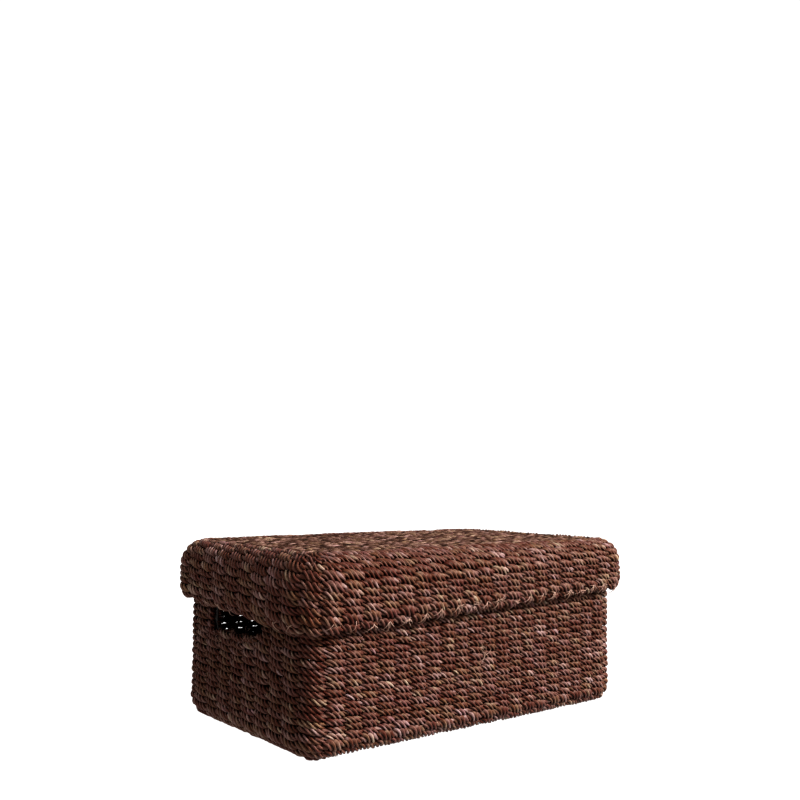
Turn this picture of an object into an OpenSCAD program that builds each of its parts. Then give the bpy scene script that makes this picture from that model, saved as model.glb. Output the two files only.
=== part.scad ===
// Woven rope storage trunk: a twined body on a wire frame, with a lift-off lid.
// Millimetres, +Z up. The origin is under the middle of the trunk, on the surface it stands on.

/* [Trunk body] */
// Length of the body over the weave
body_length = 560; // [420:10:760]
// Depth of the body over the weave, front to back
body_depth = 325; // [260:5:460]
// Outer radius of the four upright corners
corner_radius = 34; // [34:1:60]
// Outer radius of the bend between the walls and the base
base_bend = 25; // [22:1:25]

/* [Lid] */
// Height of the whole trunk with its lid on
overall_height = 247; // [240:1:320]
// Height of the lid from its lower edge to its top
lid_height = 80; // [76:0.5:100]
// How far the lid stands out past the body on every side
lid_overhang = 21.5; // [21:0.5:30]
// Outer radius of the lid's upright corners
lid_corner_radius = 56; // [50:1:80]
// Outer radius of the bend between the lid's skirt and its top
lid_bend = 36; // [32:1:38]
// How far the skirt's lower edge curls in, in degrees
curl_angle = 25; // [10:1:26]

/* [Hand holes] */
// Width of a hand hole
hole_width = 132; // [100:1:134]
// Height of a hand hole
hole_height = 43.5; // [36:0.5:50]
// Height of a hand hole's lower edge above the ground
hole_sill = 130.5; // [90:0.5:136]
// How far a hand hole lies off the middle of its end; the left one is shifted back, the right one forward
hole_shift = 15.5; // [0:0.5:18]

/* [Weave and wires] */
// Thickness of the weave: two ropes and the wire between them
weave = 18; // [16:1:18]
// Cross ribs in the body
rib_count = 20; // [14:1:22]
// Upright stakes in each end of the body, an even number
stake_count = 8; // [6:2:10]
// Cross ribs in the lid
lid_rib_count = 18; // [13:1:21]
// Upright stakes in each end skirt of the lid
lid_stake_count = 7; // [7:1:12]
// Diameter of the ribs, stakes and corner posts
stake_wire = 3; // [2:0.5:3.5]
// Diameter of the rings and hand hole frames
ring_wire = 4; // [3:0.5:5]

/* [Hidden] */
$fn = 48;

wire_colour = [0.16, 0.13, 0.12];
rope_colour = [0.30, 0.17, 0.13];
rope_top_colour = [0.36, 0.23, 0.17];

// Wires
stake_r = stake_wire / 2;
ring_r = ring_wire / 2;
weld = 0.3;             // how far welded wires sink into each other
slack = 0.2;            // room between a wire and the rope round it
mid = weave / 2;        // depth of the wires inside the weave
ring_inset = 5;         // base and top rings, in from the end of the bend
tail_past_ring = 3;     // how far a stake's tail passes the ring it is welded to

// Body
body_post_angles = [45];
rib_pitch = stake_pitch(body_length, corner_radius, body_post_angles[0], rib_count);
end_pitch = stake_pitch(body_depth, corner_radius, body_post_angles[0], stake_count);
ring_over_ribs = mid + stake_r + ring_r - weld;

// Lid, drawn upside down with its top face at height 0
lid_length = body_length + 2 * lid_overhang;
lid_depth = body_depth + 2 * lid_overhang;
lid_post_angles = [15, 45, 75];
lid_rib_pitch = stake_pitch(lid_length, lid_corner_radius, lid_post_angles[0], lid_rib_count);
lid_end_pitch = stake_pitch(lid_depth, lid_corner_radius, lid_post_angles[0], lid_stake_count);
curl_inner = 8;                         // inner radius of the curl in the skirt's edge
curl_mid = curl_inner + mid;            // radius of the curl at the wires
skirt_straight = lid_height - mid - curl_mid * sin(curl_angle);
curl_stop = curl_angle - (ring_r - weld) / curl_mid * 180 / PI;

// The rim stops just short of the lid's inner bend, which rests on it
rest_gap = 0.5;
rim_reach = lid_bend - weave - mid - rest_gap;
rim_side = max(0, lid_bend - lid_overhang - mid);
rim_top = overall_height - lid_bend + sqrt(pow(rim_reach, 2) - pow(rim_side, 2)) + mid;
wall_top = rim_top - weave;
rim_wire_z = rim_top - mid;
stake_top = rim_wire_z - ring_r + weld;

// Hand holes
hole_round = 10;                        // corner radius of a hand hole
frame_offset = 5;                       // hole's edge to the middle of its wire frame
hole_head = hole_sill + hole_height;
below_frame = hole_sill - frame_offset - ring_r + weld;
above_frame = hole_head + frame_offset + ring_r - weld;

// Spacing of the stakes along one side, from the corner post at one end to that at the other
function stake_pitch(side, round_r, post_angle, count) =
    (side - 2 * round_r + 2 * (round_r - weave / 2) * post_angle * PI / 180) / (count + 1);
function stake_at(i, count, pitch) = (i - (count - 1) / 2) * pitch;

// ---- sweeps: each takes a flat profile with X = 0 on the outer face and X < 0 inside ----

module along_side(half, run) {
    translate([half, 0, 0]) rotate([90, 0, 0]) linear_extrude(height = run, center = true) children();
}

module round_corner(length, depth, round_r, quarter) {
    sx = (quarter == 0 || quarter == 3) ? 1 : -1;
    sy = quarter < 2 ? 1 : -1;
    translate([sx * (length / 2 - round_r), sy * (depth / 2 - round_r), 0])
        rotate([0, 0, 90 * quarter]) rotate_extrude(angle = 90) translate([round_r, 0]) children();
}

module front_run(length, depth, round_r) {
    rotate([0, 0, -90]) along_side(depth / 2, length - 2 * round_r) children();
    for (quarter = [2, 3]) round_corner(length, depth, round_r, quarter) children();
}

module right_run(length, depth, round_r) {
    along_side(length / 2, depth - 2 * round_r) children();
}

module ring_run(length, depth, round_r) {
    for (turn = [0, 180]) rotate([0, 0, turn]) {
        front_run(length, depth, round_r) children();
        right_run(length, depth, round_r) children();
    }
}

module rounded_slab(length, depth, round_r, height) {
    linear_extrude(height = height) union() {
        square([length, depth - 2 * round_r], center = true);
        square([length - 2 * round_r, depth], center = true);
        for (sx = [-1, 1], sy = [-1, 1])
            translate([sx * (length / 2 - round_r), sy * (depth / 2 - round_r)]) circle(round_r);
    }
}

// ---- profiles of the weave ----

module bend_profile(bend) {
    translate([-bend, bend]) intersection() {
        difference() {
            circle(bend);
            circle(bend - weave);
        }
        translate([0, -bend]) square(bend);
    }
}

module wall_profile(bend, top) {
    bend_profile(bend);
    translate([-weave, bend]) square([weave, top - bend]);
}

// The skirt's edge curls in towards the body and ends in a round bead
module skirt_profile() {
    wall_profile(lid_bend, skirt_straight);
    translate([-weave - curl_inner, skirt_straight]) {
        reach = 2 * (weave + curl_inner);
        intersection() {
            difference() {
                circle(curl_inner + weave);
                circle(curl_inner);
            }
            polygon([[0, 0], [reach, 0], [reach, reach * tan(curl_angle)]]);
        }
        translate(curl_mid * [cos(curl_angle), sin(curl_angle)]) circle(mid);
    }
}

// Rope binding folded over the rim wire, open below where the stakes come up
module binding_profile() {
    difference() {
        union() {
            translate([-weave, wall_top]) square([weave, mid]);
            translate([-mid, rim_wire_z]) circle(mid);
        }
        translate([-mid, rim_wire_z]) circle(ring_r + slack);
        translate([-mid - stake_r - slack, wall_top - 1])
            square([2 * (stake_r + slack), rim_wire_z - wall_top + 1]);
    }
}

// ---- wires; r is the wire's radius, or with slack added that of the channel it lies in ----

// One stake in the plane Y = 0: up the wall at X = half, round the bend and in along the base
module stake(half, bend, bottom, top, tail, curl, r) {
    translate([half - mid, 0, bottom]) cylinder(h = top - bottom, r = r);
    if (tail > 0) {
        translate([half - bend, 0, bend]) rotate([90, 0, 0]) rotate([0, 0, -90])
            rotate_extrude(angle = 90) translate([bend - mid, 0]) circle(r);
        translate([half - bend, 0, mid]) rotate([0, -90, 0]) cylinder(h = tail, r = r);
    }
    if (curl > 0)
        translate([half - weave - curl_inner, 0, top]) rotate([90, 0, 0])
            rotate_extrude(angle = curl) translate([curl_mid, 0]) circle(r);
}

module ribs(depth, count, pitch, bend, top, curl, r) {
    for (i = [0 : count - 1]) translate([stake_at(i, count, pitch), 0, 0]) {
        for (turn = [90, -90]) rotate([0, 0, turn])
            stake(depth / 2, bend, bend, top, depth / 2 - bend, curl, r);
    }
}

module posts(length, depth, round_r, angles, bend, top, curl, r) {
    tail = ring_inset + tail_past_ring;
    for (quarter = [0 : 3], angle = angles) {
        sx = (quarter == 0 || quarter == 3) ? 1 : -1;
        sy = quarter < 2 ? 1 : -1;
        translate([sx * (length / 2 - round_r), sy * (depth / 2 - round_r), 0])
            rotate([0, 0, 90 * quarter + angle])
                stake(round_r, bend, bend, top, tail, curl, r);
    }
}

// Stakes of the right end; those in the way of the hand hole stop at its frame
module body_end_stakes(r) {
    tail = ring_inset + tail_past_ring;
    for (i = [0 : stake_count - 1]) {
        y = stake_at(i, stake_count, end_pitch);
        cut = abs(y + hole_shift) < hole_width / 2 + frame_offset + ring_r;
        translate([0, y, 0]) {
            stake(body_length / 2, base_bend, base_bend, cut ? below_frame : stake_top, tail, 0, r);
            if (cut) stake(body_length / 2, base_bend, above_frame, stake_top, 0, 0, r);
        }
    }
}

module lid_end_stakes(r) {
    tail = ring_inset + tail_past_ring;
    for (i = [0 : lid_stake_count - 1])
        translate([0, stake_at(i, lid_stake_count, lid_end_pitch), 0])
            stake(lid_length / 2, lid_bend, lid_bend, skirt_straight, tail, curl_stop, r);
}

module handle_loop(r) {
    round_r = hole_round + frame_offset;
    translate([body_length / 2 - mid, -hole_shift, hole_sill + hole_height / 2]) rotate([90, 0, 90])
        ring_run(hole_width + 2 * frame_offset, hole_height + 2 * frame_offset, round_r) circle(r);
}

module base_ring(length, depth, round_r, bend, r) {
    ring_run(length, depth, round_r) translate([-bend - ring_inset, ring_over_ribs]) circle(r);
}

module lid_edge_ring(r) {
    ring_run(lid_length, lid_depth, lid_corner_radius)
        translate([-weave - curl_inner + curl_mid * cos(curl_angle),
                   skirt_straight + curl_mid * sin(curl_angle)]) circle(r);
}

module body_ribs(r) { ribs(body_depth, rib_count, rib_pitch, base_bend, stake_top, 0, r); }

module body_posts(r) {
    posts(body_length, body_depth, corner_radius, body_post_angles, base_bend, stake_top, 0, r);
}

module lid_ribs(r) {
    ribs(lid_depth, lid_rib_count, lid_rib_pitch, lid_bend, skirt_straight, curl_stop, r);
}

module lid_posts(r) {
    posts(lid_length, lid_depth, lid_corner_radius, lid_post_angles, lid_bend,
          skirt_straight, curl_stop, r);
}

module as_lid() { translate([0, 0, overall_height]) mirror([0, 0, 1]) children(); }

module on_left() { rotate([0, 0, 180]) children(); }

// ---- body ----

module base_ring_wire() {
    color(wire_colour) base_ring(body_length, body_depth, corner_radius, base_bend, ring_r);
}

module rim_ring_wire() {
    color(wire_colour) ring_run(body_length, body_depth, corner_radius)
        translate([-mid, rim_wire_z]) circle(ring_r);
}

module cross_ribs() { color(wire_colour) body_ribs(stake_r); }

module corner_posts() { color(wire_colour) body_posts(stake_r); }

module right_end_stakes() { color(wire_colour) body_end_stakes(stake_r); }

module left_end_stakes() { on_left() right_end_stakes(); }

module right_handle_frame() { color(wire_colour) handle_loop(ring_r); }

module left_handle_frame() { on_left() right_handle_frame(); }

module base_weave() {
    r = stake_r + slack;
    color(rope_colour) difference() {
        rounded_slab(body_length - 2 * base_bend, body_depth - 2 * base_bend,
                     corner_radius - base_bend, weave);
        for (i = [0 : rib_count - 1])
            translate([stake_at(i, rib_count, rib_pitch), 0, mid]) rotate([90, 0, 0])
                cylinder(h = body_depth, r = r, center = true);
        body_posts(r);
        body_end_stakes(r);
        on_left() body_end_stakes(r);
        base_ring(body_length, body_depth, corner_radius, base_bend, ring_r + slack);
    }
}

module front_weave() {
    r = stake_r + slack;
    color(rope_colour) difference() {
        front_run(body_length, body_depth, corner_radius) wall_profile(base_bend, wall_top);
        body_ribs(r);
        body_posts(r);
    }
}

module back_weave() { on_left() front_weave(); }

module right_weave() {
    color(rope_colour) difference() {
        right_run(body_length, body_depth, corner_radius) wall_profile(base_bend, wall_top);
        body_end_stakes(stake_r + slack);
        handle_loop(ring_r + slack);
        translate([body_length / 2 - 2 * weave, -hole_shift, hole_sill + hole_height / 2])
            rotate([90, 0, 90]) rounded_slab(hole_width, hole_height, hole_round, 3 * weave);
    }
}

module left_weave() { on_left() right_weave(); }

module rim_binding() {
    color(rope_colour) ring_run(body_length, body_depth, corner_radius) binding_profile();
}

// ---- lid ----

module lid_edge_ring_wire() { color(wire_colour) as_lid() lid_edge_ring(ring_r); }

module lid_top_ring_wire() {
    color(wire_colour) as_lid()
        base_ring(lid_length, lid_depth, lid_corner_radius, lid_bend, ring_r);
}

module lid_cross_ribs() { color(wire_colour) as_lid() lid_ribs(stake_r); }

module lid_corner_posts() { color(wire_colour) as_lid() lid_posts(stake_r); }

module lid_right_stakes() { color(wire_colour) as_lid() lid_end_stakes(stake_r); }

module lid_left_stakes() { on_left() lid_right_stakes(); }

module lid_top_weave() {
    r = stake_r + slack;
    color(rope_top_colour) as_lid() difference() {
        rounded_slab(lid_length - 2 * lid_bend, lid_depth - 2 * lid_bend,
                     lid_corner_radius - lid_bend, weave);
        for (i = [0 : lid_rib_count - 1])
            translate([stake_at(i, lid_rib_count, lid_rib_pitch), 0, mid]) rotate([90, 0, 0])
                cylinder(h = lid_depth, r = r, center = true);
        lid_posts(r);
        lid_end_stakes(r);
        on_left() lid_end_stakes(r);
        base_ring(lid_length, lid_depth, lid_corner_radius, lid_bend, ring_r + slack);
    }
}

module lid_front_weave() {
    r = stake_r + slack;
    color(rope_colour) as_lid() difference() {
        front_run(lid_length, lid_depth, lid_corner_radius) skirt_profile();
        lid_ribs(r);
        lid_posts(r);
        lid_edge_ring(ring_r + slack);
    }
}

module lid_back_weave() { on_left() lid_front_weave(); }

module lid_right_weave() {
    color(rope_colour) as_lid() difference() {
        right_run(lid_length, lid_depth, lid_corner_radius) skirt_profile();
        lid_end_stakes(stake_r + slack);
        lid_edge_ring(ring_r + slack);
    }
}

module lid_left_weave() { on_left() lid_right_weave(); }

base_ring_wire();
rim_ring_wire();
cross_ribs();
corner_posts();
left_end_stakes();
right_end_stakes();
left_handle_frame();
right_handle_frame();
base_weave();
front_weave();
back_weave();
left_weave();
right_weave();
rim_binding();
lid_edge_ring_wire();
lid_top_ring_wire();
lid_cross_ribs();
lid_corner_posts();
lid_left_stakes();
lid_right_stakes();
lid_top_weave();
lid_front_weave();
lid_back_weave();
lid_left_weave();
lid_right_weave();
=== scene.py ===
"""Looks of a rope storage trunk: twined rope on a wire frame, with a deep lid that lifts off.

Lengths are in millimetres until a mesh is made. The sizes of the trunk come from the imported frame.
"""

import bpy
import numpy as np
from mathutils import Matrix, Vector

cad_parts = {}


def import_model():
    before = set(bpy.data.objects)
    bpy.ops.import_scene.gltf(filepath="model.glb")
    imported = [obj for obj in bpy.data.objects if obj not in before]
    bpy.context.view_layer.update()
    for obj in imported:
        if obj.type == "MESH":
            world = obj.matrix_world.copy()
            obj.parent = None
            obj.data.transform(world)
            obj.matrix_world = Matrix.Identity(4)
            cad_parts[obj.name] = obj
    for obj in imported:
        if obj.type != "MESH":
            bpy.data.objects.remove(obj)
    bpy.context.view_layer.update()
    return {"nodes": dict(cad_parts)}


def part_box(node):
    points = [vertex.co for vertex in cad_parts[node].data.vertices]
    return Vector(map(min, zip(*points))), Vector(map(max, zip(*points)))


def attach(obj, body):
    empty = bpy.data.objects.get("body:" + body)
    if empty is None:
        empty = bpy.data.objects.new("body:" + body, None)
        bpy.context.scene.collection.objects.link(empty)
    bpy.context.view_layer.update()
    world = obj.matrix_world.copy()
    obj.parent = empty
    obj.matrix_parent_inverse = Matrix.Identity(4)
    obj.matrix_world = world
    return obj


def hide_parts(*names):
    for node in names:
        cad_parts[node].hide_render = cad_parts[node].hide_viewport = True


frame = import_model()

MM = 0.001
rng = np.random.default_rng(11)

# ---- rope: four plies laid together, twined in pairs over and under the stakes ----
ROPE_TALL = 5.1           # half the rope's height where it passes over a stake
ROPE_THICK = 4.6          # half its thickness there, square to the wall
CROSS_TALL = 0.73         # share of the height left where two ropes cross
HUMP = 5.7                # how far a rope's middle stands out from the wires
CROSS_LIFT = 0.5          # how far out two ropes of a wall meet where they cross
BEND_LIFT = 4.5           # and those of the bends, which are woven closer
HUMP_FULLNESS = 0.45      # below 1 for flatter humps with steeper sides
SLANT = 1.7               # how far a rope climbs or falls between stakes
LAY = 30.0                # length of rope in which a ply goes once round
PLIES = 4
PLY_TURN = np.radians([0, 30, 60])       # the groove beside a ply, then its two shoulders
PLY_REACH = np.array([0.26, 1.0, 1.0])   # how far out each of those lies, as a share of the size
FRONT_RINGS = 13          # cross-sections per stake where the rope is outside
BACK_RINGS = 6            # and where it is inside
BACK_GAPS = 0.21          # share of a rope's height that the back's looser weave lacks
PLY_TONE_STEP = 7.0       # length over which a ply keeps its colour
ROPE_TINT_STEP = 26.0     # and over which a whole rope keeps its own
SHADE_CHANGE = 0.15       # how much a ply's shade varies
TINT_CHANGE = 0.15        # how much its tint does
ROPE_TINT_CHANGE = 0.17   # and a whole rope's tint

# ---- counts that the frame's boxes don't give ----
RIBS, END_STAKES = 20, 8
LID_RIBS, LID_END_STAKES = 18, 7
POST_ANGLES, LID_POST_ANGLES = [45], [15, 45, 75]
WALL_ROWS, BASE_ROWS = 24, 32
SKIRT_ROWS, TOP_ROWS = 10, 34
CURL_INNER = 8.0          # inner radius of the curl in the skirt's edge
CURL_ANGLE = np.radians(25)

# ---- where ropes begin, end and turn back ----
SKIRT_START = 4.35        # how far the skirt's first row lies from the edge of the lid's flat top
EDGE_REACH = 3.0          # how far the last row's middle lies past the edge wire
HOLE_WRAP = 2.0           # how far a rope's middle passes the hole's wire as it turns back
FULL_PITCH = 8.7          # spacing of a panel's rows at which its ropes have their full girth
END_ROOM = 8.0            # a panel's rope takes one more stitch where it has this much room left
WHIP_PITCH = 8.5          # spacing of the turns of the rim's binding
WHIP_RINGS = 20           # cross-sections per turn of it
BODY_SWELL = 1.6          # how far outwards the rows of the body's upright walls are moved
UNDERSIDE_RISE = 3.0      # how far the ropes underneath are pressed in by the floor

# ---- handmade unevenness ----
# How far the skirt's edge lies above its drawn height at each corner
SAG = {"front_left": -13.5, "front_right": 7.5, "back_left": 4.5, "back_right": 1.0}
BODY_SAG = 0.15           # share of it that the rows of the body follow
SILL_LIFT = 8.0           # how far the left hand hole's sill rises towards the front
SILL_PLACE = (-46, 126)   # y and z of the middle of that rise
SILL_REACH = (34, 26)     # and how far it reaches along each

# ---- loose fibres ----
FIBRE_SIDES = 3
FIBRE_RINGS = 8
BODY_FRIZZ, LID_FRIZZ = 900, 500     # how many stand up from the body and the lid
HOLE_FRIZZ = 60                      # and along each hand hole's sill
TUFT_DEPTH = 8.8                     # how far out a tuft's fibres leave the weave
STRAY_TUFT_X, STRAY_TUFT_Z = 0, 98   # place of the one tuft on the front wall
FRAYED_START = 40                    # the skirt's front is frayed from this far along its straight
FRAYED_PAST = 60                     # part to this far past its end


def span(node):
    """Lowest and highest corner of a CAD node, in millimetres."""
    low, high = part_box(node)
    return np.array(low) / MM, np.array(high) / MM


front_low, front_high = span("front_weave")
left_low, left_high = span("left_weave")
base_low, base_high = span("base_weave")
lid_front_low, lid_front_high = span("lid_front_weave")
lid_left_low, lid_left_high = span("lid_left_weave")
top_low, top_high = span("lid_top_weave")
rib_low, rib_high = span("cross_ribs")
end_low, end_high = span("left_end_stakes")
lid_rib_low, lid_rib_high = span("lid_cross_ribs")
lid_end_low, lid_end_high = span("lid_left_stakes")
loop_low, loop_high = span("left_handle_frame")
rim_low, rim_high = span("rim_ring_wire")

WEAVE = base_high[2] - base_low[2]
MID = WEAVE / 2
STAKE_R = rib_high[1] - (-front_low[1] - MID)
RING_R = (loop_high[0] - loop_low[0]) / 2
RIM_Z = (rim_low[2] + rim_high[2]) / 2
LID_EDGE = lid_front_low[2]


def spread(low, high, count):
    """Evenly spaced stakes between the outer sides of the first and the last one."""
    return np.linspace(low + STAKE_R, high - STAKE_R, count)


def unit(vectors):
    return vectors / np.linalg.norm(vectors, axis=-1, keepdims=True)


def sag_at(x, y, half_x, half_y):
    """Unevenness at a point in plan, blended between the four corners."""
    right = np.clip((x / half_x + 1) / 2, 0, 1)
    back = np.clip((y / half_y + 1) / 2, 0, 1)
    front_side = SAG["front_left"] * (1 - right) + SAG["front_right"] * right
    back_side = SAG["back_left"] * (1 - right) + SAG["back_right"] * right
    return front_side * (1 - back) + back_side * back


class Shell:
    """The wires' surface of a woven box: a bend that leaves the flat face, then a wall.

    s runs round the box to the right as seen from outside, from the left end of the front's
    straight part. t runs from the flat face round the bend and along the wall.
    """

    def __init__(self, half_x, half_y, corner, bend, face, up, wall_end, curls, swell=0):
        self.half_x = half_x
        self.half_y = half_y
        self.corner = corner
        self.bend = bend
        self.face = face
        self.up = up
        self.wall_end = wall_end
        self.curls = curls
        self.swell = swell
        self.round_r = corner - MID
        self.bend_r = bend - MID
        self.bend_length = self.bend_r * np.pi / 2
        quarter = self.round_r * np.pi / 2
        self.long_side = 2 * (half_x - corner)
        self.short_side = 2 * (half_y - corner)
        lengths = [self.long_side, quarter, self.short_side, quarter] * 2
        self.starts = np.concatenate([[0], np.cumsum(lengths)[:-1]])
        self.total = sum(lengths)

    def t_at(self, height):
        """t on the wall at a height above the floor."""
        return self.bend_length + abs(height - self.face) - self.bend

    def t_end(self):
        """t at the end of the wall, or of the curl for a skirt."""
        curl_length = (CURL_INNER + MID) * CURL_ANGLE if self.curls else 0
        return self.bend_length + self.wall_end - self.bend + curl_length

    def profile(self, t):
        """How far in from the outer face and from the flat face, and the outward direction there."""
        turn = np.clip(t / self.bend_r, 0, np.pi / 2)
        past = np.maximum(t - self.bend_length, 0)
        straight = self.wall_end - self.bend
        curl_r = CURL_INNER + MID
        curl = np.maximum(past - straight, 0) / curl_r if self.curls else np.zeros_like(t)
        inset = self.bend - self.bend_r * np.sin(turn) + curl_r * (1 - np.cos(curl))
        rise = self.bend - self.bend_r * np.cos(turn) + curl_r * np.sin(curl)
        rise = rise + (np.minimum(past, straight) if self.curls else past)
        return inset, rise, np.sin(turn) * np.cos(curl), -np.cos(turn) * np.cos(curl) + np.sin(curl)

    def plan(self, s, inset):
        """Point in plan at s, so far in from the outer face, and the outward direction there."""
        s = np.mod(s, self.total)
        part = np.searchsorted(self.starts, s, side="right") - 1
        local = s - self.starts[part]
        side = part // 2
        facing = np.pi / 2 * (side - 1)
        turn = np.where(part % 2 == 1, facing + local / self.round_r, facing)
        normal = np.stack([np.cos(turn), np.sin(turn)], -1)
        side_normal = np.stack([np.cos(facing), np.sin(facing)], -1)
        side_along = np.stack([-np.sin(facing), np.cos(facing)], -1)
        reach = np.where(side % 2 == 0, self.half_y, self.half_x) - self.corner
        run = np.where(side % 2 == 0, self.half_x, self.half_y) - self.corner
        run = np.where(part % 2 == 1, run, local - run)
        centre = side_normal * reach[..., None] + side_along * run[..., None]
        return centre + normal * (self.corner - inset)[..., None], normal

    def place(self, s, t, depth):
        """Points at s and t, so far out from the wires, with the outward and the across direction."""
        inset, rise, out, along_rise = self.profile(t)
        spot, plan_normal = self.plan(s, inset)
        if self.up > 0:
            depth = depth - UNDERSIDE_RISE * np.clip(-along_rise, 0, 1)
        depth = depth + self.swell * out
        normal = np.concatenate([plan_normal * out[..., None], (self.up * along_rise)[..., None]], -1)
        tangent = np.stack([-plan_normal[..., 1], plan_normal[..., 0], np.zeros_like(s)], -1)
        height = self.face + self.up * rise
        points = np.concatenate([spot, height[..., None]], -1) + normal * depth[..., None]
        sag = sag_at(points[..., 0], points[..., 1], self.half_x, self.half_y)
        points[..., 2] += sag * self.sag_share(t, height)
        if self.up > 0:
            near = ((points[..., 1] - SILL_PLACE[0]) / SILL_REACH[0]) ** 2
            near = near + ((height - SILL_PLACE[1]) / SILL_REACH[1]) ** 2
            points[..., 2] += SILL_LIFT * np.exp(-near) * (points[..., 0] < self.corner - self.half_x)
        return points, normal, np.cross(normal, tangent)

    def sag_share(self, t, height):
        """All of the sag at the skirt's edge and none at its top; the body follows a little."""
        if self.curls:
            return np.clip(t / self.t_end(), 0, 1.1)
        above = (RIM_Z - height) / (RIM_Z - LID_EDGE)
        return BODY_SAG * np.clip(np.minimum(height / LID_EDGE, above), 0, 1)


class Stakes:
    """Where the stakes stand round a shell, and where its four woven sides meet."""

    def __init__(self, shell, ribs, ends, posts):
        self.places = []
        first = {}
        for part, start in enumerate(shell.starts):
            first[part] = len(self.places)
            if part % 2 == 1:
                self.places += [start + shell.round_r * np.radians(angle) for angle in posts]
            else:
                side = (shell.long_side, ribs) if part % 4 == 0 else (shell.short_side, ends)
                self.places += [start + side[0] / 2 + place for place in side[1]]
        self.places = np.array(self.places)
        self.count = len(self.places)
        self.total = shell.total
        self.side_starts = [first[2], first[3] - 1, first[6], first[7] - 1]

    def s_at(self, u, places=None):
        """s at a place counted in stakes."""
        places = self.places if places is None else places
        around = np.concatenate([places - self.total, places, places + self.total])
        return np.interp(u, np.arange(-self.count, 2 * self.count), around)


def hidden_cut(stake, outward, parity):
    """The stake at a join, or its neighbour, where this rope is inside and a cut doesn't show."""
    return stake if (stake + parity) % 2 == 1 else stake + outward


def stations(first, last, parity):
    """Places along a rope in stakes, closer together where the rope is outside."""
    cells = []
    for stake in range(int(np.floor(first)), int(np.ceil(last)) + 1):
        rings = FRONT_RINGS if (stake + parity) % 2 == 0 else BACK_RINGS
        cells.append(np.linspace(stake - 0.5, stake + 0.5, rings, endpoint=False))
    u = np.concatenate(cells + [[last]])
    u = u[(u >= first - 1e-6) & (u <= last + 1e-6)]
    return np.unique(np.round(np.concatenate([[first], u]), 6))


class Wobble:
    """Smooth random values along a rope, one per stake."""

    def __init__(self, count, size):
        self.count = count
        self.values = rng.normal(0, size, count)

    def at(self, u):
        low = np.floor(u).astype(int)
        ease = (1 - np.cos(np.pi * (u - low))) / 2
        before, after = self.values[low % self.count], self.values[(low + 1) % self.count]
        return before * (1 - ease) + after * ease


class Piece:
    """Gathers swept ropes and fibres, and makes one mesh of them."""

    def __init__(self, name):
        self.name = name
        self.points = []
        self.quads = []
        self.caps = []
        self.uvs = []
        self.layers = {"shade": [], "tint": [], "groove": []}
        self.count = 0

    def add(self, rings, along, shade, tint, groove):
        """A closed tube through n rings of m points, with its colour values, each (n, m)."""
        n, m, _ = rings.shape
        index = self.count + np.arange(n * m).reshape(n, m)
        beside = np.roll(index, -1, axis=1)
        quads = np.stack([index[:-1], index[1:], beside[1:], beside[:-1]], -1)
        self.quads.append(quads.reshape(-1, 4))
        low = np.broadcast_to(along[:-1, None], (n - 1, m))
        high = np.broadcast_to(along[1:, None], (n - 1, m))
        left = np.broadcast_to(np.arange(m) / m, (n - 1, m))
        right = np.broadcast_to((np.arange(m) + 1) / m, (n - 1, m))
        sides = ((low, left), (high, left), (high, right), (low, right))
        corners = [np.stack(pair, -1) for pair in sides]
        self.uvs.append(np.stack(corners, 2).reshape(-1, 2))
        self.caps += [index[0], index[-1][::-1]]
        self.points.append(rings.reshape(-1, 3))
        for layer, values in (("shade", shade), ("tint", tint), ("groove", groove)):
            self.layers[layer].append(np.broadcast_to(values, (n, m)).ravel())
        self.count += n * m

    def build(self, body, slot, material, *nodes):
        """Makes the mesh, which rides on a body and stands for the CAD nodes named."""
        quads = np.concatenate(self.quads)
        corners = np.concatenate([quads.ravel()] + self.caps).astype(np.int32)
        sizes = np.array([4] * len(quads) + [len(cap) for cap in self.caps])
        starts = np.concatenate([[0], np.cumsum(sizes)[:-1]]).astype(np.int32)
        mesh = bpy.data.meshes.new(self.name)
        mesh.vertices.add(self.count)
        points = np.concatenate(self.points) * MM
        mesh.vertices.foreach_set("co", points.astype(np.float32).ravel())
        mesh.loops.add(len(corners))
        mesh.loops.foreach_set("vertex_index", corners)
        mesh.polygons.add(len(sizes))
        mesh.polygons.foreach_set("loop_start", starts)
        mesh.update(calc_edges=True)
        mesh.shade_smooth()
        for layer, values in self.layers.items():
            attribute = mesh.attributes.new(layer, "FLOAT", "POINT")
            attribute.data.foreach_set("value", np.concatenate(values).astype(np.float32))
        uvs = np.zeros((len(corners), 2), np.float32)
        uvs[: 4 * len(quads)] = np.concatenate(self.uvs)
        mesh.uv_layers.new(name="lay").data.foreach_set("uv", uvs.ravel())
        mesh.materials.append(material)
        piece = bpy.data.objects.new(self.name, mesh)
        bpy.context.scene.collection.objects.link(piece)
        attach(piece, body)
        if nodes:
            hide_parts(*nodes)
        return piece


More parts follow.
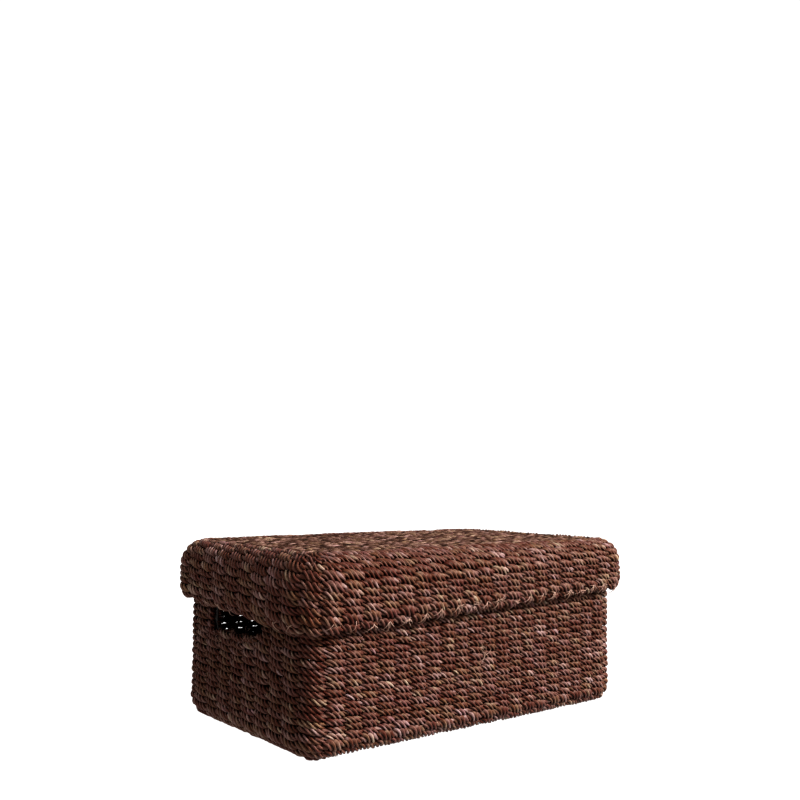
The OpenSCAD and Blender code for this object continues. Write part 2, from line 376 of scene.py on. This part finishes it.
class Rope:
    """A laid rope swept along a path, ready to be cut between pieces."""

    def __init__(self, u, centre, across, tall, thick, shade):
        steps = np.linalg.norm(np.diff(centre, axis=0), axis=1)
        along = np.concatenate([[0], np.cumsum(steps)])
        tangent = unit(np.gradient(centre, axis=0))
        across = unit(across - tangent * np.sum(across * tangent, -1, keepdims=True))
        out = np.cross(tangent, across)
        turn = np.concatenate([PLY_TURN + 2 * np.pi * ply / PLIES for ply in range(PLIES)])
        reach = np.tile(PLY_REACH, PLIES)
        turn = turn + rng.uniform(0, 2 * np.pi) - 2 * np.pi * along[:, None] / LAY
        lift = (out * thick[:, None])[:, None] * (reach * np.cos(turn))[..., None]
        climb = (across * tall[:, None])[:, None] * (reach * np.sin(turn))[..., None]
        self.u = u
        self.along = along
        self.rings = centre[:, None] + lift + climb
        # 0 at the bottom of a groove between plies, 1 on a ply's shoulder: where the material paints
        # shade
        groove = np.tile((PLY_REACH - PLY_REACH.min()) / np.ptp(PLY_REACH), PLIES)
        self.groove = np.broadcast_to(groove, self.rings.shape[:2])
        self.shade = shade[:, None] + self.ply_values(SHADE_CHANGE)
        self.tint = 0.5 + self.ply_values(TINT_CHANGE) + self.rope_values(ROPE_TINT_CHANGE)

    def ply_values(self, size):
        """A value for each ply that changes along the rope, given to all of the ply's columns."""
        knots = np.arange(0, self.along[-1] + 2 * PLY_TONE_STEP, PLY_TONE_STEP)
        plies = [np.interp(self.along, knots, rng.normal(0, size, len(knots)))
                 for _ in range(PLIES)]
        return np.repeat(np.stack(plies, -1), len(PLY_TURN), axis=1)

    def rope_values(self, size):
        """A value that changes slowly along the rope, the same for all of its columns."""
        knots = np.arange(0, self.along[-1] + 2 * ROPE_TINT_STEP, ROPE_TINT_STEP)
        return np.interp(self.along, knots, rng.normal(0, size, len(knots)))[:, None]

    def cut_into(self, piece, first, last):
        """Adds the stretch between two places along the rope to a piece."""
        start = np.searchsorted(self.u, first - 1e-4)
        stop = np.searchsorted(self.u, last + 1e-4)
        part = slice(start, stop)
        piece.add(self.rings[part], self.along[part],
                  self.shade[part], self.tint[part], self.groove[part])


def twined(u, parity, lift=CROSS_LIFT):
    """Depth, climb and size of one of a row's two ropes, outside at stakes of its own parity."""
    swing = np.pi * (u + parity)
    out = np.cos(swing)
    over = np.abs(out)
    depth = HUMP * np.sign(out) * over ** HUMP_FULLNESS + lift * (1 - over)
    climb = -SLANT * np.sin(swing)
    tall = ROPE_TALL * (CROSS_TALL + (1 - CROSS_TALL) * over)
    thick = ROPE_THICK * (0.9 + 0.1 * over)
    return depth, climb, tall, thick


def ring_rope(shell, u, s, t, parity, wobbles, tip=None):
    """One rope of a row that runs round a shell; tip goes from 0 to 1 where it turns back, and the
    rope is darkened there as painted shade.
    """
    bent = np.clip(1.3 - t / shell.bend_length, 0, 1)
    rise, out, girth, tone, drift = [wobble.at(u) for wobble in wobbles]
    lift = CROSS_LIFT + (BEND_LIFT - CROSS_LIFT) * bent
    depth, climb, tall, thick = twined(u + drift, parity, lift)
    if tip is not None:
        climb = climb * (1 - tip)
        thick = thick * (1 - 0.45 * tip)
        # Painted shade: a rope is coloured darker where it turns back round the hole's wire, inside
        # the hand hole
        tone = tone - 0.3 * tip
    t = t + rise + shell.up * climb
    centre, _, across = shell.place(s, t, depth + out)
    above, _, _ = shell.place(s, t + 0.5, depth)
    below, _, _ = shell.place(s, t - 0.5, depth)
    stretch = np.linalg.norm(above - below, axis=-1)
    loose = 1 - BACK_GAPS * np.clip(centre[:, 1] / shell.half_y, 0, 1) ** 4
    tall = tall * loose * (1 + girth) * stretch
    return Rope(u, centre, across, tall, thick * (1 + girth), 0.5 + tone)


def row_wobbles(count):
    """Rise, depth, girth and tone of one rope."""
    return [Wobble(count, 0.65), Wobble(count, 0.35), Wobble(count, 0.05), Wobble(count, 0.085)]


def weave_ring(shell, stakes, t, pieces, hole=None):
    """A row of two ropes right round a shell, cut where its four pieces meet."""
    front, right, back, left = pieces
    drift = Wobble(stakes.count, 0.07)
    for parity in (0, 1):
        wobbles = row_wobbles(stakes.count) + [drift]
        cuts = [hidden_cut(stake, outward, parity)
                for stake, outward in zip(stakes.side_starts, (-1, 1, -1, 1))]
        start = cuts[3] - stakes.count
        u = stations(start, cuts[3], parity)
        rope = ring_rope(shell, u, stakes.s_at(u), np.full_like(u, t), parity, wobbles)
        rope.cut_into(front, start, cuts[0])
        rope.cut_into(back, cuts[1], cuts[2])
        if hole is None:
            rope.cut_into(right, cuts[0], cuts[1])
            rope.cut_into(left, cuts[2], cuts[3])
            continue
        ends = ((right, cuts[0], cuts[1], hole[0]), (left, cuts[2], cuts[3], hole[1]))
        for piece, first, last, edges in ends:
            weave_to_hole(shell, stakes, t, parity, wobbles, piece, first, last, edges)


def weave_to_hole(shell, stakes, t, parity, wobbles, piece, first, last, edges):
    """The two stretches of a rope beside a hand hole; each ends in a turn round the hole's wire."""
    half_cell = 0.5 * np.median(np.diff(stakes.places))
    before = int(np.searchsorted(stakes.places, edges[0] - half_cell, side="right"))
    after = int(np.searchsorted(stakes.places, edges[1] + half_cell)) - 1
    for wire, start, stop, edge, side in (
            (before, first, before + 0.5, edges[0], 1), (after, after - 0.5, last, edges[1], -1)):
        places = stakes.places.copy()
        places[wire] = edge
        u = stations(start, stop, parity)
        past = np.clip((u - wire) * side, 0, 0.5)
        turned = edge + side * HOLE_WRAP * np.sin(np.pi * past)
        s = np.where(past > 0, turned, stakes.s_at(u, places))
        rope = ring_rope(shell, u, s, np.full_like(u, t), parity, wobbles, tip=2 * past)
        rope.cut_into(piece, start, stop)


def weave_panel(piece, ribs, half_x, half_y, corner, rows, height, facing):
    """Rows of two ropes along X over the ribs of the base or the lid's top."""
    pitch = ribs[1] - ribs[0]
    row_pitch = 2 * half_y / rows
    pressed = UNDERSIDE_RISE if facing < 0 else 0
    for row in range(rows):
        y = (row + 0.5) * row_pitch - half_y
        inside = max(abs(y) - (half_y - corner), 0)
        end = half_x - corner + np.sqrt(corner ** 2 - inside ** 2) - 1
        crossing = ribs[-1] + pitch / 2
        if end - crossing > END_ROOM:
            beyond_u, beyond_x = [0.5, 1, 1.5], [crossing, (crossing + end) / 2, end]
        else:
            beyond_u, beyond_x = [0.5], [min(crossing + 1.5, end)]
        last = len(ribs) - 1
        knots_u = [-u for u in beyond_u[::-1]] + list(range(last + 1)) + [last + u for u in beyond_u]
        knots_x = [-x for x in beyond_x[::-1]] + list(ribs) + beyond_x
        for parity in (0, 1):
            rise, out, girth, tone = row_wobbles(len(ribs) + 4)
            u = stations(knots_u[0], knots_u[-1], parity)
            depth, climb, tall, thick = twined(u, parity)
            x = np.interp(u, knots_u, knots_x)
            fade = np.clip((end + 1 - np.abs(x)) / 5, 0.45, 1)
            across = np.cross([0, 0, facing], [1, 0, 0])
            depth = depth + out.at(u) - pressed - 3 * (1 - fade)
            centre = np.stack([x, y + (climb + rise.at(u)) * across[1], height + facing * depth], -1)
            across = np.broadcast_to(across, centre.shape)
            scale = row_pitch / FULL_PITCH * (1 + girth.at(u)) * fade
            rope = Rope(u, centre, across, tall * scale, thick * scale, 0.5 + tone.at(u))
            rope.cut_into(piece, u[0], u[-1])


def whip_rim(piece, shell):
    """The rim's binding: one rope wound round and round the rim wire."""
    turns = round(shell.total / WHIP_PITCH)
    wind = MID - ROPE_THICK
    u = np.linspace(0, turns, turns * WHIP_RINGS + 1)
    angle = 2 * np.pi * u
    spot, normal = shell.plan(u / turns * shell.total, MID - wind * np.cos(angle))
    centre = np.concatenate([spot, (RIM_Z + wind * np.sin(angle))[:, None]], -1)
    across = np.stack([-normal[:, 1], normal[:, 0], np.zeros(len(u))], -1)
    tone = Wobble(turns, 0.08).at(u)
    girth = 1 + Wobble(turns, 0.04).at(u)
    rope = Rope(u, centre, across, 0.92 * ROPE_TALL * girth, ROPE_THICK * girth, 0.5 + tone)
    rope.cut_into(piece, 0, turns)


def fibre(piece, shell, s, t, angle, length, radius, depth, lift, shade):
    """One loose fibre that arches over the weave and comes down again; angle 0 runs along s."""
    v = np.linspace(0, 1, FIBRE_RINGS)
    turn = angle + rng.normal(0, 0.5) * v
    step = length / (FIBRE_RINGS - 1)
    run = np.concatenate([[0], np.cumsum(np.cos(turn[1:]) * step)])
    fall = np.concatenate([[0], np.cumsum(np.sin(turn[1:]) * step)])
    centre, normal, across = shell.place(s + run, t + fall, depth + lift * np.sin(np.pi * v) ** 0.8)
    tangent = unit(np.gradient(centre, axis=0))
    side = unit(np.cross(normal, tangent) + 1e-6 * across)
    out = np.cross(tangent, side)
    around = 2 * np.pi * np.arange(FIBRE_SIDES) / FIBRE_SIDES
    girth = radius * (1 - 0.75 * v)[:, None, None]
    rings = centre[:, None] + girth * (out[:, None] * np.cos(around)[:, None] +
                                       side[:, None] * np.sin(around)[:, None])
    flat = np.ones((FIBRE_RINGS, FIBRE_SIDES))
    piece.add(rings, v * length, flat * shade, flat * rng.uniform(0.15, 0.55), flat)


def frizz(piece, shell, count, t_low, t_high):
    """Fine fibres that stand up from the rope all over a shell."""
    for _ in range(count):
        fibre(piece, shell,
              s=rng.uniform(0, shell.total),
              t=rng.uniform(t_low, t_high),
              angle=rng.uniform(-np.pi, np.pi),
              length=rng.uniform(5, 15),
              radius=rng.uniform(0.16, 0.30),
              depth=rng.uniform(5.5, 8.0),
              lift=rng.uniform(0.8, 3.2),
              shade=rng.uniform(0.55, 1.0))


def sill_frizz(piece, shell, edges, t_sill):
    """Fibres that hang from a hand hole's lower edge."""
    for _ in range(HOLE_FRIZZ):
        fibre(piece, shell,
              s=rng.uniform(edges[0] - 6, edges[1] + 6),
              t=t_sill - rng.uniform(-3, 6),
              angle=rng.uniform(-np.pi, 0),
              length=rng.uniform(5, 12),
              radius=rng.uniform(0.2, 0.4),
              depth=7.5,
              lift=rng.uniform(1, 3),
              shade=rng.uniform(0.5, 1.0))


def tuft(piece, shell, s, t, count, directions, length, radius):
    """Cut ends of fibre that fan out from one place."""
    for _ in range(count):
        fibre(piece, shell,
              s=s + rng.normal(0, 1.2),
              t=t + rng.normal(0, 1.0),
              angle=rng.choice(directions) + rng.normal(0, 0.3),
              length=length * rng.uniform(0.7, 1.3),
              radius=radius * rng.uniform(0.7, 1.2),
              depth=TUFT_DEPTH,
              lift=rng.uniform(1.0, 3.0),
              shade=rng.uniform(1.0, 1.3))


# ---- materials ----

def feed(tree, socket, value):
    """Links another node's output to a socket, or sets the socket to a plain value."""
    if isinstance(value, bpy.types.NodeSocket):
        tree.links.new(value, socket)
    else:
        socket.default_value = value


def node(tree, kind, **inputs):
    """Adds a shader node; inputs are named as the node's own, with _ for a space."""
    made = tree.nodes.new(kind)
    for name, value in inputs.items():
        feed(tree, made.inputs[name.replace("_", " ")], value)
    return made


def added(tree, first, second):
    made = tree.nodes.new("ShaderNodeMath")
    feed(tree, made.inputs[0], first)
    feed(tree, made.inputs[1], second)
    return made.outputs[0]


def attribute(tree, name):
    made = tree.nodes.new("ShaderNodeAttribute")
    made.attribute_name = name
    return made.outputs["Fac"]


def ramp(tree, value, stops):
    """A colour that follows a value through stops, each a place and its colour."""
    made = tree.nodes.new("ShaderNodeValToRGB")
    elements = made.color_ramp.elements
    while len(elements) < len(stops):
        elements.new(0.5)
    for element, (place, colour) in zip(elements, stops):
        element.position = place
        element.color = (*colour, 1)
    tree.links.new(value, made.inputs["Fac"])
    return made.outputs["Color"]


def mixed(tree, factor, first, second, blend="MIX"):
    made = tree.nodes.new("ShaderNodeMix")
    made.data_type = "RGBA"
    made.blend_type = blend
    feed(tree, made.inputs[0], factor)
    feed(tree, made.inputs[6], first)
    feed(tree, made.inputs[7], second)
    return made.outputs[2]


def ranged(tree, value, low, high, to_low, to_high):
    """A value carried over from one range to another."""
    made = node(tree, "ShaderNodeMapRange", Value=value, From_Min=low, From_Max=high,
                To_Min=to_low, To_Max=to_high)
    return made.outputs["Result"]


def new_material(name):
    material = bpy.data.materials.new(name)
    material.use_nodes = True
    tree = material.node_tree
    return material, tree, tree.nodes["Principled BSDF"]


def rope_material(name, shades, tints, tint_share, rough):
    """Dyed twisted grass: plies differ in tone, fibres run along them, and painted shade darkens the
    grooves between plies.
    """
    material, tree, shader = new_material(name)
    fibres = node(tree, "ShaderNodeUVMap")
    fibres.uv_map = "lay"
    stretched = node(tree, "ShaderNodeMapping", Vector=fibres.outputs[0], Scale=(0.35, 26, 1))
    grain = node(tree, "ShaderNodeTexNoise", Vector=stretched.outputs[0], Scale=1.0, Detail=3.0)
    shade = added(tree, attribute(tree, "shade"),
                  ranged(tree, grain.outputs["Fac"], 0.3, 0.7, -0.12, 0.12))
    colour = mixed(tree, tint_share, ramp(tree, shade, shades),
                   ramp(tree, attribute(tree, "tint"), tints), "OVERLAY")
    # Painted shade: the colour is darkened towards the bottom of each groove between plies
    colour = mixed(tree, 1.0, colour, ramp(tree, attribute(tree, "groove"), GROOVE_PAINTED_SHADE), "MULTIPLY")
    tree.links.new(colour, shader.inputs["Base Color"])
    bump = node(tree, "ShaderNodeBump", Height=grain.outputs["Fac"], Strength=0.5, Distance=0.0006)
    tree.links.new(bump.outputs[0], shader.inputs["Normal"])
    roughness = ranged(tree, grain.outputs["Fac"], 0.3, 0.7, rough - 0.08, rough + 0.1)
    tree.links.new(roughness, shader.inputs["Roughness"])
    shader.inputs["Specular IOR Level"].default_value = 0.28
    shader.inputs["Specular Tint"].default_value = (1.0, 0.66, 0.50, 1)
    return material


def wire_material():
    """Dark lacquered iron wire, with a faint unevenness in the lacquer."""
    material, tree, shader = new_material("lacquered_wire")
    noise = node(tree, "ShaderNodeTexNoise", Scale=220.0, Detail=2.0)
    colour = ramp(tree, noise.outputs["Fac"],
                  [(0.3, (0.014, 0.010, 0.009)), (0.7, (0.035, 0.026, 0.022))])
    tree.links.new(colour, shader.inputs["Base Color"])
    rough = ranged(tree, noise.outputs["Fac"], 0.3, 0.7, 0.34, 0.55)
    tree.links.new(rough, shader.inputs["Roughness"])
    bump = node(tree, "ShaderNodeBump", Height=noise.outputs["Fac"], Strength=0.2, Distance=0.0002)
    tree.links.new(bump.outputs[0], shader.inputs["Normal"])
    return material


# Colours by a ply's shade, from dark to pale: of the rope, of the top's rope and of frayed ends
BROWNS = [(0.12, (0.033, 0.006, 0.003)), (0.38, (0.056, 0.021, 0.014)),
          (0.60, (0.084, 0.049, 0.039)), (0.92, (0.196, 0.158, 0.142))]
# The top's ramp is wider than the rope's: its darker darks are painted shade between the plies, its
# paler stops partly the top rope's own lighter tan and partly painted light.
TOP_BROWNS_AND_PAINTED_SHADE = [(0.12, (0.005, 0.002, 0.001)), (0.38, (0.022, 0.009, 0.006)),
              (0.60, (0.094, 0.058, 0.044)), (0.92, (0.255, 0.190, 0.158))]
PALE_BROWNS = [(0.12, (0.09, 0.052, 0.038)), (0.60, (0.17, 0.110, 0.084)),
               (0.92, (0.27, 0.195, 0.152))]
# Colours laid over those by tint, from pinkish to straw
TINTS = [(0.05, (0.60, 0.40, 0.50)), (0.30, (0.54, 0.45, 0.50)), (0.50, (0.58, 0.44, 0.42)),
         (0.70, (0.54, 0.52, 0.38)), (0.95, (0.62, 0.50, 0.28))]
# Painted shade: what the colours are multiplied by, from the bottom of a groove to a ply's shoulder
GROOVE_PAINTED_SHADE = [(0.25, (0.10, 0.018, 0.008)), (0.95, (1.0, 1.0, 1.0))]

rope_dyed = rope_material("dyed_rope", BROWNS, TINTS, 0.70, 0.55)
rope_frayed = rope_material("frayed_rope", PALE_BROWNS, TINTS, 0.35, 0.60)
rope_top = rope_material("dyed_rope_top_and_painted_shade", TOP_BROWNS_AND_PAINTED_SHADE, TINTS, 0.55, 0.80)
wire = wire_material()

for part in frame["nodes"].values():
    part.data.materials.clear()
    part.data.materials.append(wire)

# ---- trunk body ----

body = Shell(half_x=front_high[0], half_y=-front_low[1], corner=front_high[1] - front_low[1],
             bend=left_high[0] - left_low[0], face=0, up=1, wall_end=left_high[2],
             curls=False, swell=BODY_SWELL)
ribs = spread(rib_low[0], rib_high[0], RIBS)
body_stakes = Stakes(body, ribs, spread(end_low[1], end_high[1], END_STAKES), POST_ANGLES)

# The left hand hole, from the middle of its wire on one side to that on the other. The left end's
# s runs against Y, so the right hole, turned half round with its end, has the same place along it.
loop_middle = (loop_low[1] + loop_high[1]) / 2
loop_half = (loop_high[1] - loop_low[1]) / 2 - RING_R
hole_reach = np.array([-loop_half, loop_half])
hole_edges = [body.starts[part] + body.short_side / 2 - loop_middle + hole_reach
              for part in (2, 6)]

walls = [Piece(name) for name in ("rope_front", "rope_right", "rope_back", "rope_left")]
row_pitch = body.t_end() / WALL_ROWS
for row in range(WALL_ROWS):
    t = (row + 0.5) * row_pitch
    _, rise, _, _ = body.profile(np.array(t))
    above_sill = rise - row_pitch / 4 > loop_low[2] + RING_R
    below_head = rise + row_pitch / 4 < loop_high[2] - RING_R
    beside_hole = above_sill and below_head
    weave_ring(body, body_stakes, t, walls, hole_edges if beside_hole else None)

for piece, cad in zip(walls, ("front_weave", "right_weave", "back_weave", "left_weave")):
    piece.build("trunk_body", "rope", rope_dyed, cad)

base = Piece("rope_base")
weave_panel(base, ribs, base_high[0], base_high[1], body.corner - body.bend, BASE_ROWS, MID, -1)
base.build("trunk_body", "rope", rope_dyed, "base_weave")

rim = Piece("rope_rim")
whip_rim(rim, body)
rim.build("trunk_body", "rope", rope_dyed, "rim_binding")

# ---- lid ----

skirt_end = top_high[2] - LID_EDGE - MID - (CURL_INNER + MID) * np.sin(CURL_ANGLE)
lid = Shell(half_x=lid_front_high[0], half_y=-lid_front_low[1],
            corner=lid_front_high[1] - lid_front_low[1], bend=lid_left_high[0] - lid_left_low[0],
            face=top_high[2], up=-1, wall_end=skirt_end, curls=True)
lid_ribs = spread(lid_rib_low[0], lid_rib_high[0], LID_RIBS)
lid_ends = spread(lid_end_low[1], lid_end_high[1], LID_END_STAKES)
lid_stakes = Stakes(lid, lid_ribs, lid_ends, LID_POST_ANGLES)

skirts = [Piece(name) for name in
          ("lid_rope_front", "lid_rope_right", "lid_rope_back", "lid_rope_left")]
for t in np.linspace(SKIRT_START, lid.t_end() + EDGE_REACH, SKIRT_ROWS):
    weave_ring(lid, lid_stakes, t, skirts)

skirt_nodes = ("lid_front_weave", "lid_right_weave", "lid_back_weave", "lid_left_weave")
for piece, cad in zip(skirts, skirt_nodes):
    piece.build("lid", "rope", rope_dyed, cad)

top = Piece("lid_rope_top")
weave_panel(top, lid_ribs, top_high[0], top_high[1], lid.corner - lid.bend, TOP_ROWS,
            top_high[2] - MID, 1)
top.build("lid", "rope_top", rope_top, "lid_top_weave")

# ---- loose fibres ----

body_fibres = Piece("body_fibres")
frizz(body_fibres, body, BODY_FRIZZ, 2, body.t_end() - 40)
for edges in hole_edges:
    sill_frizz(body_fibres, body, edges, body.t_at(loop_low[2] + RING_R))
body_fibres.build("trunk_body", "rope", rope_dyed)

stray = Piece("body_tuft")
tuft(stray, body, body.long_side / 2 + STRAY_TUFT_X, body.t_at(STRAY_TUFT_Z),
     count=8, directions=[-2.4, 1.1, 1.9], length=13, radius=0.6)
stray.build("trunk_body", "rope", rope_frayed)

lid_fibres = Piece("lid_fibres")
frizz(lid_fibres, lid, LID_FRIZZ, 6, lid.t_end())
lid_fibres.build("lid", "rope", rope_dyed)

lid_tufts = Piece("lid_edge_tufts")
for s in lid_stakes.places:
    frayed = FRAYED_START < s < lid.long_side + FRAYED_PAST
    tuft(lid_tufts, lid, s + rng.normal(0, 2.5), lid.t_end() + rng.uniform(-4, 2),
         count=rng.integers(4, 8) if frayed else rng.integers(0, 3),
         directions=[0.3, 0.8, 2.2, 2.8], length=11, radius=0.7)
lid_tufts.build("lid", "rope", rope_frayed)

# ---- camera, floor and light, in metres ----

CAMERA_PLACE = (-0.89232, -1.09200, 0.33755)
CAMERA_YAW, CAMERA_PITCH, CAMERA_ROLL = np.radians([38.6541, 4.8182, 0.5294])
CAMERA_LENS = 41.776

ahead = Vector((np.sin(CAMERA_YAW) * np.cos(CAMERA_PITCH),
                np.cos(CAMERA_YAW) * np.cos(CAMERA_PITCH), np.sin(CAMERA_PITCH)))
level = Vector((np.cos(CAMERA_YAW), -np.sin(CAMERA_YAW), 0))
above = level.cross(ahead)
right = level * np.cos(CAMERA_ROLL) + above * np.sin(CAMERA_ROLL)
up = above * np.cos(CAMERA_ROLL) - level * np.sin(CAMERA_ROLL)
camera = bpy.data.objects.new("camera", bpy.data.cameras.new("camera"))
camera.data.sensor_width = 36
camera.data.lens = CAMERA_LENS
turned = Matrix((right, up, -ahead)).transposed().to_4x4()
camera.matrix_world = Matrix.Translation(CAMERA_PLACE) @ turned
bpy.context.scene.collection.objects.link(camera)
bpy.context.scene.camera = camera


def floor():
    """A pale floor that glows a little, so that no shadow shows on it."""
    bpy.ops.mesh.primitive_plane_add(size=40, location=(0, 0, 0))
    plane = bpy.context.object
    plane.name = "floor"
    material, _, shader = new_material("pale_floor")
    shader.inputs["Base Color"].default_value = (0.10, 0.10, 0.10, 1)
    shader.inputs["Emission Color"].default_value = (1, 1, 1, 1)
    shader.inputs["Emission Strength"].default_value = 0.78
    shader.inputs["Roughness"].default_value = 0.9
    shader.inputs["Specular IOR Level"].default_value = 0.0
    plane.data.materials.append(material)


def area_light(name, place, aim, size, power):
    light = bpy.data.lights.new(name, "AREA")
    light.shape = "DISK"
    light.size = size
    light.energy = power
    lamp = bpy.data.objects.new(name, light)
    lamp.location = place
    lamp.rotation_euler = (Vector(aim) - Vector(place)).to_track_quat("-Z", "Y").to_euler()
    bpy.context.scene.collection.objects.link(lamp)


def world():
    """Even white light from all round."""
    made = bpy.data.worlds.new("studio")
    bpy.context.scene.world = made
    made.use_nodes = True
    background = made.node_tree.nodes["Background"]
    background.inputs["Color"].default_value = (1, 1, 1, 1)
    background.inputs["Strength"].default_value = 0.72


floor()
world()
area_light("key", (2.9, -4.75, 3.55), (0, 0, 0.12), 1.4, 1050)
area_light("overhead", (-0.4, -0.5, 1.6), (-0.1, 0, 0.2), 0.8, 5)
bpy.context.scene.view_settings.view_transform = "Standard"
bpy.context.scene.view_settings.look = "High Contrast"
